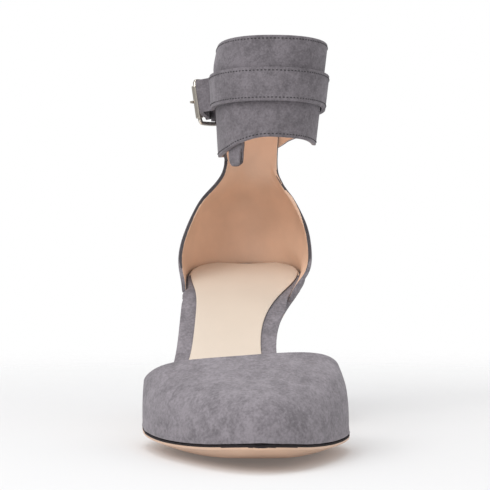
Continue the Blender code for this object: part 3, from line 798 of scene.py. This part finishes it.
def round_cuff(tree, angle, z):
    """Where the outer skin is at this angle and height, with its normal."""
    way = cuff_way(angle)
    start = Vector((CUFF_MIDDLE.x, CUFF_MIDDLE.y, z)) + way * RAY_START
    spot, normal, _, _ = tree.ray_cast(start, -way)
    return spot, normal


def edge_height(tree, angle, upward):
    """The height of the skin's upper or lower edge at this angle, found by halving."""
    inside = CUFF_MIDDLE.z
    outside = EDGE_HIGH if upward else EDGE_LOW
    for _ in range(HALVINGS):
        middle = (inside + outside) / 2
        spot = round_cuff(tree, angle, middle)[0]
        if spot is not None and (spot - CUFF_MIDDLE).dot(cuff_way(angle)) > 0:
            inside = middle
        else:
            outside = middle
    return inside


def spaced_along(spots, pitch):
    """Points one stitch apart on a line of (place, normal), each with its normal and direction."""
    places = np.array([tuple(place) for place, _ in spots])
    normals = np.array([tuple(normal) for _, normal in spots])
    steps = np.linalg.norm(np.diff(places, axis=0), axis=1)
    run = np.concatenate([[0], np.cumsum(steps)])

    def read(rows, at):
        return Vector([np.interp(at, run, rows[:, axis]) for axis in range(3)])

    stitches = []
    for at in np.arange(pitch / 2, run[-1], pitch):
        way = read(places, at + WAY_REACH) - read(places, at - WAY_REACH)
        stitches.append((read(places, at), read(normals, at).normalized(), way.normalized()))
    return stitches


def thread_mesh(name, stitches, long, radius):
    """One mesh of small rounded threads, each along its line and sunk a little at its ends."""
    points, faces = [], []
    for at, normal, way in stitches:
        aside = way.cross(normal).normalized()
        first = len(points)
        for reach, girth, rise in THREAD_OUTLINE:
            middle = at + way * (reach * long / 2) + normal * (rise * radius)
            for k in range(THREAD_SIDES):
                turn = 2 * math.pi * k / THREAD_SIDES
                out = aside * math.cos(turn) + normal * math.sin(turn)
                points.append(middle + out * radius * girth)
        last = len(points) - THREAD_SIDES
        for ring in range(first, last, THREAD_SIDES):
            for k in range(THREAD_SIDES):
                a = ring + k
                b = ring + (k + 1) % THREAD_SIDES
                faces.append((a, a + THREAD_SIDES, b + THREAD_SIDES, b))
        faces.append(tuple(range(first, first + THREAD_SIDES)))
        faces.append(tuple(reversed(range(last, last + THREAD_SIDES))))
    return new_piece(name, points, faces)


class PUMP_OT_stitching(bpy.types.Operator):
    """Sews the edges of the cuff and the strap"""

    bl_idname = "pump.stitching"
    bl_label = "Stitching"

    def execute(self, context):
        chosen = settings()
        inset = chosen.stitch_inset
        cuff = skin_tree(PIECES["Cuff"])
        strap = skin_tree(PIECES["Cuff_strap"])
        stitches = []
        for upward in (True, False):
            line = []
            for angle in range(*CUFF_SPAN, LINE_STEP):
                z = edge_height(cuff, angle, upward)
                z += -inset if upward else inset
                line.append(round_cuff(cuff, angle, z))
            stitches += spaced_along(line, chosen.stitch_pitch)
        for edge in (1, -1):
            line = []
            for angle in range(*STRAP_SPAN, LINE_STEP):
                y = round_cuff(strap, angle, STRAP_Z)[0].y
                middle = STRAP_Z + STRAP_RISE * (CUFF_MIDDLE.y - y)
                line.append(round_cuff(strap, angle, middle + edge * (STRAP_HALF - inset)))
            stitches += spaced_along(line, chosen.stitch_pitch)
        long = chosen.stitch_pitch * THREAD_SHARE
        item = thread_mesh("Stitching", stitches, long, THREAD_RADIUS)
        coat(item, [finish_of("thread")], lambda at, normal: 0)
        settle(item, slot="suede")
        return {"FINISHED"}


# The studio.

# The camera stands before the toe and looks level along +Y. Its shift frames the shoe.
CAMERA_AT = (0.0, -0.884, 0.1036)
CAMERA_LENS = 166.0
CAMERA_SHIFT = -0.124
FLOOR_RADIUS = 0.55
FLOOR_AT = (0.0, 0.03, -0.0001)
FLOOR_COLOUR = (0.71, 0.71, 0.715)
FLOOR_GLOW = 0.09
# The shares of the floor's radius where it starts to clear and where it is clear.
FLOOR_FADE = (0.3, 0.95)
ROOM_LIGHT = 0.68
# How bright the room is from straight below to straight above.
ROOM_HEIGHTS = (0.65, 1.2)

# How bright the room is from its left to its right, as the metal mirrors it.
MIRRORED_ENDS = (0.6, 0.9)
MIRRORED_WALLS = (
    (0.10, 0.3),
    (0.20, 0.95),
    (0.30, 0.2),
    (0.40, 0.85),
    (0.52, 1.0),
    (0.62, 0.15),
    (0.80, 0.12),
    (0.90, 0.8),
)

# Columns: name, place, what it is aimed at, width and height in metres, power in watts.
LIGHTS = (
    ("Key", (-0.75, -0.9, 1.0), (0.0, 0.03, 0.08), (1.1, 1.0), 9.0),
    ("Fill", (0.9, -0.6, 0.6), (0.0, 0.03, 0.08), (0.9, 0.9), 0.8),
    ("Top", (-0.1, 0.1, 1.3), (0.0, 0.05, 0.0), (0.7, 0.7), 4.9),
)


def grey(level):
    return (level, level, level, 1.0)


def area_light(name, at, target, size, power):
    data = bpy.data.lights.new(name, "AREA")
    data.shape = "RECTANGLE"
    data.size, data.size_y = size
    data.energy = power
    item = bpy.data.objects.new(name, data)
    bpy.context.scene.collection.objects.link(item)
    item.location = at
    item.rotation_euler = (Vector(target) - Vector(at)).to_track_quat("-Z", "Y").to_euler()


def studio_world():
    """White behind the shoe, a softer room for its light, and dark walls for metal to mirror."""
    world = bpy.data.worlds.new("Studio")
    world.use_nodes = True
    nodes, links = world.node_tree.nodes, world.node_tree.links
    backdrop = nodes["Background"]
    backdrop.inputs["Color"].default_value = grey(1.0)
    room = nodes.new("ShaderNodeBackground")
    room.inputs["Strength"].default_value = ROOM_LIGHT
    where = nodes.new("ShaderNodeTexCoord")
    apart = nodes.new("ShaderNodeSeparateXYZ")
    links.new(where.outputs["Generated"], apart.inputs["Vector"])
    height = nodes.new("ShaderNodeMapRange")
    height.inputs["From Min"].default_value = -1.0
    height.inputs["To Min"].default_value = ROOM_HEIGHTS[0]
    height.inputs["To Max"].default_value = ROOM_HEIGHTS[1]
    links.new(apart.outputs["Z"], height.inputs["Value"])
    side = nodes.new("ShaderNodeMapRange")
    side.inputs["From Min"].default_value = -1.0
    links.new(apart.outputs["X"], side.inputs["Value"])
    walls = nodes.new("ShaderNodeValToRGB")
    for stop, level in zip(walls.color_ramp.elements, MIRRORED_ENDS):
        stop.color = grey(level)
    for place, level in MIRRORED_WALLS:
        walls.color_ramp.elements.new(place).color = grey(level)
    links.new(side.outputs["Result"], walls.inputs["Fac"])
    path = nodes.new("ShaderNodeLightPath")
    seen = nodes.new("ShaderNodeMix")
    seen.data_type = "RGBA"
    links.new(path.outputs["Is Glossy Ray"], seen.inputs["Factor"])
    links.new(height.outputs["Result"], seen.inputs["A"])
    links.new(walls.outputs["Color"], seen.inputs["B"])
    links.new(seen.outputs["Result"], room.inputs["Color"])
    either = nodes.new("ShaderNodeMixShader")
    links.new(path.outputs["Is Camera Ray"], either.inputs["Fac"])
    links.new(room.outputs["Background"], either.inputs[1])
    links.new(backdrop.outputs["Background"], either.inputs[2])
    links.new(either.outputs["Shader"], nodes["World Output"].inputs["Surface"])
    return world


def fading_floor():
    """A pale floor that is whole under the shoe and clear at its rim, so no line ends it."""
    finish = plain("Studio floor", FLOOR_COLOUR, 0.8, shine=0.2)
    nodes, links = finish.node_tree.nodes, finish.node_tree.links
    shader = nodes["Principled BSDF"]
    shader.inputs["Emission Color"].default_value = grey(1.0)
    shader.inputs["Emission Strength"].default_value = FLOOR_GLOW
    where = nodes.new("ShaderNodeTexCoord")
    reach = nodes.new("ShaderNodeVectorMath")
    reach.operation = "LENGTH"
    fade = nodes.new("ShaderNodeMapRange")
    fade.interpolation_type = "SMOOTHSTEP"
    fade.inputs["From Min"].default_value = FLOOR_RADIUS * FLOOR_FADE[0]
    fade.inputs["From Max"].default_value = FLOOR_RADIUS * FLOOR_FADE[1]
    fade.inputs["To Min"].default_value = 1.0
    fade.inputs["To Max"].default_value = 0.0
    links.new(where.outputs["Object"], reach.inputs[0])
    links.new(reach.outputs["Value"], fade.inputs["Value"])
    links.new(fade.outputs["Result"], shader.inputs["Alpha"])
    return finish


class PUMP_OT_stage(bpy.types.Operator):
    """Sets the floor, the soft light and the camera"""

    bl_idname = "pump.stage"
    bl_label = "Stage"

    def execute(self, context):
        scene = context.scene
        bpy.ops.mesh.primitive_circle_add(
            vertices=96, radius=FLOOR_RADIUS, fill_type="TRIFAN", location=FLOOR_AT
        )
        floor = context.active_object
        floor.name = "Floor"
        floor.data.materials.append(fading_floor())
        scene.world = studio_world()
        for light in LIGHTS:
            area_light(*light)
        data = bpy.data.cameras.new("Camera")
        data.lens = CAMERA_LENS
        data.shift_y = CAMERA_SHIFT
        data.clip_start = 0.01
        camera = bpy.data.objects.new("Camera", data)
        camera.location = CAMERA_AT
        camera.rotation_euler = (math.pi / 2, 0.0, 0.0)
        scene.collection.objects.link(camera)
        scene.camera = camera
        scene.view_settings.view_transform = "Standard"
        return {"FINISHED"}


class PUMP_PT_panel(bpy.types.Panel):
    """Lists the pump's colours, sizes and building steps"""

    bl_label = "Ankle strap pump"
    bl_idname = "PUMP_PT_panel"
    bl_space_type = "VIEW_3D"
    bl_region_type = "UI"
    bl_category = "Pump"

    def draw(self, context):
        for name in PumpSettings.__annotations__:
            self.layout.prop(context.scene.pump, name)
        for step in STEPS:
            self.layout.operator(step.bl_idname)


STEPS = (
    PUMP_OT_sole,
    PUMP_OT_insole,
    PUMP_OT_vamp,
    PUMP_OT_quarter,
    PUMP_OT_cuff,
    PUMP_OT_straps,
    PUMP_OT_buckle,
    PUMP_OT_stitching,
    PUMP_OT_stage,
)
CLASSES = (PumpSettings, *STEPS, PUMP_PT_panel)


def register():
    for item in CLASSES:
        bpy.utils.register_class(item)
    bpy.types.Scene.pump = bpy.props.PointerProperty(type=PumpSettings)


def unregister():
    del bpy.types.Scene.pump
    for item in reversed(CLASSES):
        bpy.utils.unregister_class(item)


def main():
    register()
    for step in STEPS:
        group, name = step.bl_idname.split(".")
        getattr(getattr(bpy.ops, group), name)()


if __name__ == "__main__":
    main()
